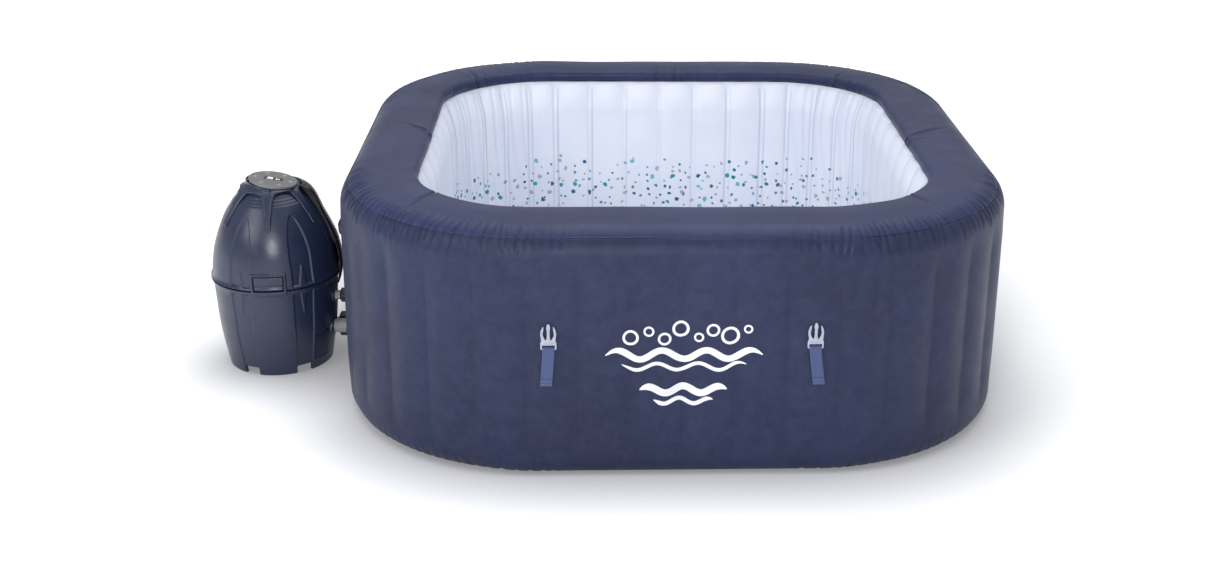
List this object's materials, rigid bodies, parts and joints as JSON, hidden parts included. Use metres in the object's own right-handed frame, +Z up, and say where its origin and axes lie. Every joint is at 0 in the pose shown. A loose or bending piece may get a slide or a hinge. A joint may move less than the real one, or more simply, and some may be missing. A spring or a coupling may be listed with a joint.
{
  "type": "inflatable hot tub",
  "caption": "Square inflatable hot tub with soft air-filled walls, a pale liner, cover buckles and an egg-shaped pump and heater unit beside it.",
  "frame": {"origin": "on the floor under the middle of the tub, at the centre of the base sheet's flat underside", "axes": "+Z up, +X across the tub away from the pump unit, +Y from the front wall to the back wall"},
  "size_m": [2.2394, 1.8286, 0.66],
  "materials": {
    "wall_sheet": "laminated PVC sheet, navy, semi-matt",
    "rim_sheet": "laminated PVC sheet, lighter navy, semi-matt",
    "liner_sheet": "laminated PVC sheet, pale lavender with printed specks",
    "duct_sheet": "laminated PVC sheet, pale",
    "web_sheet": "plain PVC sheet",
    "fitting_plastic": "moulded black",
    "valve_plastic": "moulded black",
    "pool_plastic": "moulded pale grey",
    "filter_paper": "pleated filter paper",
    "webbing": "woven strap, slate blue",
    "buckle_plastic": "moulded pale grey, satin",
    "pump_plastic": "moulded navy, satin",
    "spine_plastic": "moulded black, glossy",
    "panel_plastic": "moulded grey, fine texture",
    "display_lens": "smoked window",
    "button_plastic": "moulded, printed with plain icons",
    "circuit_board": "green circuit board",
    "grille_plastic": "moulded, pierced",
    "gland_rubber": "moulded rubber",
    "motor_plastic": "moulded black",
    "steel": "plain steel",
    "impeller_plastic": "moulded white",
    "pipe_plastic": "translucent pale grey",
    "nut_plastic": "moulded black"
  },
  "bodies": {
    "tub_and_pump": {"outer_wall": "wall_sheet", "rim_sheet": "rim_sheet", "liner_wall": "liner_sheet", "base_sheet": "wall_sheet", "pool_floor": "liner_sheet", "air_bubble_duct": "duct_sheet", "web_frame": "web_sheet", "inlet_fitting": "fitting_plastic", "outlet_fitting": "fitting_plastic", "air_fitting": "fitting_plastic", "inflation_valve_body": "valve_plastic", "drain_valve_body": "valve_plastic", "filter_cage": "pool_plastic", "filter_cartridge": "filter_paper", "strap_1": "webbing", "strap_2": "webbing", "strap_3": "webbing", "strap_4": "webbing", "strap_5": "webbing", "strap_6": "webbing", "strap_7": "webbing", "strap_8": "webbing", "pump_base": "pump_plastic", "pump_dome": "pump_plastic", "pump_crown": "pump_plastic", "rear_spine": "spine_plastic", "control_panel": "panel_plastic", "display_window": "display_lens", "control_board": "circuit_board", "latch_plate": "pump_plastic", "intake_grille": "grille_plastic", "cord_gland": "gland_rubber", "water_pump_casing": "motor_plastic", "water_pump_motor": "steel", "blower_casing": "motor_plastic", "heater_tube": "steel", "inlet_pipe": "pipe_plastic", "outlet_pipe": "pipe_plastic", "air_pipe": "pipe_plastic"},
    "buckle_1_body": {"buckle_1": "buckle_plastic"},
    "buckle_2_body": {"buckle_2": "buckle_plastic"},
    "buckle_3_body": {"buckle_3": "buckle_plastic"},
    "buckle_4_body": {"buckle_4": "buckle_plastic"},
    "buckle_5_body": {"buckle_5": "buckle_plastic"},
    "buckle_6_body": {"buckle_6": "buckle_plastic"},
    "buckle_7_body": {"buckle_7": "buckle_plastic"},
    "buckle_8_body": {"buckle_8": "buckle_plastic"},
    "button_1_body": {"button_1": "button_plastic"},
    "button_2_body": {"button_2": "button_plastic"},
    "button_3_body": {"button_3": "button_plastic"},
    "button_4_body": {"button_4": "button_plastic"},
    "button_5_body": {"button_5": "button_plastic"},
    "button_6_body": {"button_6": "button_plastic"},
    "impeller_body": {"impeller": "impeller_plastic"},
    "blower_fan_body": {"blower_fan": "impeller_plastic"},
    "inlet_nut_body": {"inlet_nut": "nut_plastic"},
    "outlet_nut_body": {"outlet_nut": "nut_plastic"},
    "air_nut_body": {"air_nut": "nut_plastic"},
    "inflation_valve_cap_body": {"inflation_valve_cap": "valve_plastic"},
    "drain_valve_cap_body": {"drain_valve_cap": "valve_plastic"}
  },
  "joints": [
    {"name": "buckle_1_tilt", "type": "hinge", "parent": "tub_and_pump", "child": "buckle_1_body", "pos_m": [-0.33, -0.9068, 0.3585], "axis": [1, 0, 0], "range_deg": [0, 105]},
    {"name": "buckle_2_tilt", "type": "hinge", "parent": "tub_and_pump", "child": "buckle_2_body", "pos_m": [0.33, -0.9068, 0.3585], "axis": [1, 0, 0], "range_deg": [0, 105]},
    {"name": "buckle_3_tilt", "type": "hinge", "parent": "tub_and_pump", "child": "buckle_3_body", "pos_m": [0.9068, -0.33, 0.3585], "axis": [0, 1, 0], "range_deg": [0, 105]},
    {"name": "buckle_4_tilt", "type": "hinge", "parent": "tub_and_pump", "child": "buckle_4_body", "pos_m": [0.9068, 0.33, 0.3585], "axis": [0, 1, 0], "range_deg": [0, 105]},
    {"name": "buckle_5_tilt", "type": "hinge", "parent": "tub_and_pump", "child": "buckle_5_body", "pos_m": [0.33, 0.9068, 0.3585], "axis": [-1, 0, 0], "range_deg": [0, 105]},
    {"name": "buckle_6_tilt", "type": "hinge", "parent": "tub_and_pump", "child": "buckle_6_body", "pos_m": [-0.33, 0.9068, 0.3585], "axis": [-1, 0, 0], "range_deg": [0, 105]},
    {"name": "buckle_7_tilt", "type": "hinge", "parent": "tub_and_pump", "child": "buckle_7_body", "pos_m": [-0.9068, 0.33, 0.3585], "axis": [0, -1, 0], "range_deg": [0, 105]},
    {"name": "buckle_8_tilt", "type": "hinge", "parent": "tub_and_pump", "child": "buckle_8_body", "pos_m": [-0.9068, -0.33, 0.3585], "axis": [0, -1, 0], "range_deg": [0, 105]},
    {"name": "button_1_press", "type": "slide", "parent": "tub_and_pump", "child": "button_1_body", "axis": [-0.1045, 0, -0.9945], "range_m": [0, 0.001], "stiffness_N_per_m": 300},
    {"name": "button_2_press", "type": "slide", "parent": "tub_and_pump", "child": "button_2_body", "axis": [-0.1045, 0, -0.9945], "range_m": [0, 0.001], "stiffness_N_per_m": 300},
    {"name": "button_3_press", "type": "slide", "parent": "tub_and_pump", "child": "button_3_body", "axis": [-0.1045, 0, -0.9945], "range_m": [0, 0.001], "stiffness_N_per_m": 300},
    {"name": "button_4_press", "type": "slide", "parent": "tub_and_pump", "child": "button_4_body", "axis": [-0.1045, 0, -0.9945], "range_m": [0, 0.001], "stiffness_N_per_m": 300},
    {"name": "button_5_press", "type": "slide", "parent": "tub_and_pump", "child": "button_5_body", "axis": [-0.1045, 0, -0.9945], "range_m": [0, 0.001], "stiffness_N_per_m": 300},
    {"name": "button_6_press", "type": "slide", "parent": "tub_and_pump", "child": "button_6_body", "axis": [-0.1045, 0, -0.9945], "range_m": [0, 0.001], "stiffness_N_per_m": 300},
    {"name": "impeller_spin", "type": "hinge", "parent": "tub_and_pump", "child": "impeller_body", "pos_m": [-1.1445, -0.175, 0.093], "axis": [0, 0, 1], "continuous": true},
    {"name": "blower_spin", "type": "hinge", "parent": "tub_and_pump", "child": "blower_fan_body", "pos_m": [-1.2245, -0.118, 0.045], "axis": [0, 0, 1], "continuous": true},
    {"name": "inlet_nut_turn", "type": "hinge", "parent": "tub_and_pump", "child": "inlet_nut_body", "pos_m": [-0.93, -0.165, 0.108], "axis": [1, 0, 0], "continuous": true},
    {"name": "outlet_nut_turn", "type": "hinge", "parent": "tub_and_pump", "child": "outlet_nut_body", "pos_m": [-0.966, -0.075, 0.077], "axis": [1, 0, 0], "continuous": true},
    {"name": "air_nut_turn", "type": "hinge", "parent": "tub_and_pump", "child": "air_nut_body", "pos_m": [-0.948, -0.165, 0.205], "axis": [1, 0, 0], "continuous": true},
    {"name": "inflation_cap_turn", "type": "hinge", "parent": "tub_and_pump", "child": "inflation_valve_cap_body", "pos_m": [-0.9004, -0.345, 0.48], "axis": [-1, 0, 0], "range_deg": [0, 270]},
    {"name": "drain_cap_turn", "type": "hinge", "parent": "tub_and_pump", "child": "drain_valve_cap_body", "pos_m": [-0.195, 0.9004, 0.085], "axis": [0, 1, 0], "range_deg": [0, 540]}
  ]
}
